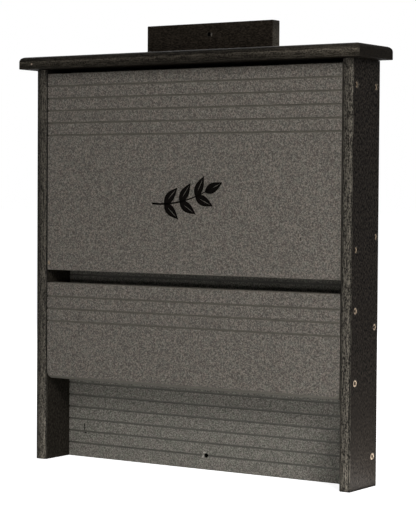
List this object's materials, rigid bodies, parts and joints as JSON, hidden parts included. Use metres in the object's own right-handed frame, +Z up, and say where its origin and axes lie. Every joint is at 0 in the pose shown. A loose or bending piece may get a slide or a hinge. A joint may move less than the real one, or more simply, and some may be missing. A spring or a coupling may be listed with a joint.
{
  "type": "bat box",
  "caption": "Flat single-chamber bat box of plastic boards: grooved landing area, vent slot across the front, overhanging roof and a hanging cleat on top.",
  "frame": {"origin": "on the surface that the box stands on, under the middle of its overall width and depth", "axes": "+Z up, +X to the right seen from the front, +Y from the front to the back"},
  "size_m": [0.605, 0.0984, 0.6747],
  "materials": {
    "black_poly_lumber": "black recycled polyethylene board with a fine streaky embossed grain, satin",
    "gray_poly_sheet": "warm gray polyethylene sheet with a pebbled, mottled surface",
    "screw_steel": "stainless deck screw with a star recess, slightly tan",
    "motif_black": "flat black film"
  },
  "bodies": {
    "root": {"side_board_left": "black_poly_lumber", "side_board_right": "black_poly_lumber", "roof_board": "black_poly_lumber", "hanging_cleat": "black_poly_lumber", "back_board": "gray_poly_sheet", "upper_front_panel": "gray_poly_sheet", "lower_front_panel": "gray_poly_sheet", "front_motif": "motif_black", "screw_upper_panel_left_1": "screw_steel", "screw_upper_panel_left_2": "screw_steel", "screw_upper_panel_right_1": "screw_steel", "screw_upper_panel_right_2": "screw_steel", "screw_lower_panel_left_1": "screw_steel", "screw_lower_panel_left_2": "screw_steel", "screw_lower_panel_right_1": "screw_steel", "screw_lower_panel_right_2": "screw_steel", "screw_back_board_left_1": "screw_steel", "screw_back_board_left_2": "screw_steel", "screw_back_board_left_3": "screw_steel", "screw_back_board_left_4": "screw_steel", "screw_back_board_right_1": "screw_steel", "screw_back_board_right_2": "screw_steel", "screw_back_board_right_3": "screw_steel", "screw_back_board_right_4": "screw_steel", "screw_roof_left_1": "screw_steel", "screw_roof_left_2": "screw_steel", "screw_roof_right_1": "screw_steel", "screw_roof_right_2": "screw_steel", "screw_roof_back_left": "screw_steel", "screw_roof_back_right": "screw_steel", "screw_cleat_left": "screw_steel", "screw_cleat_right": "screw_steel"}
  },
  "joints": []
}
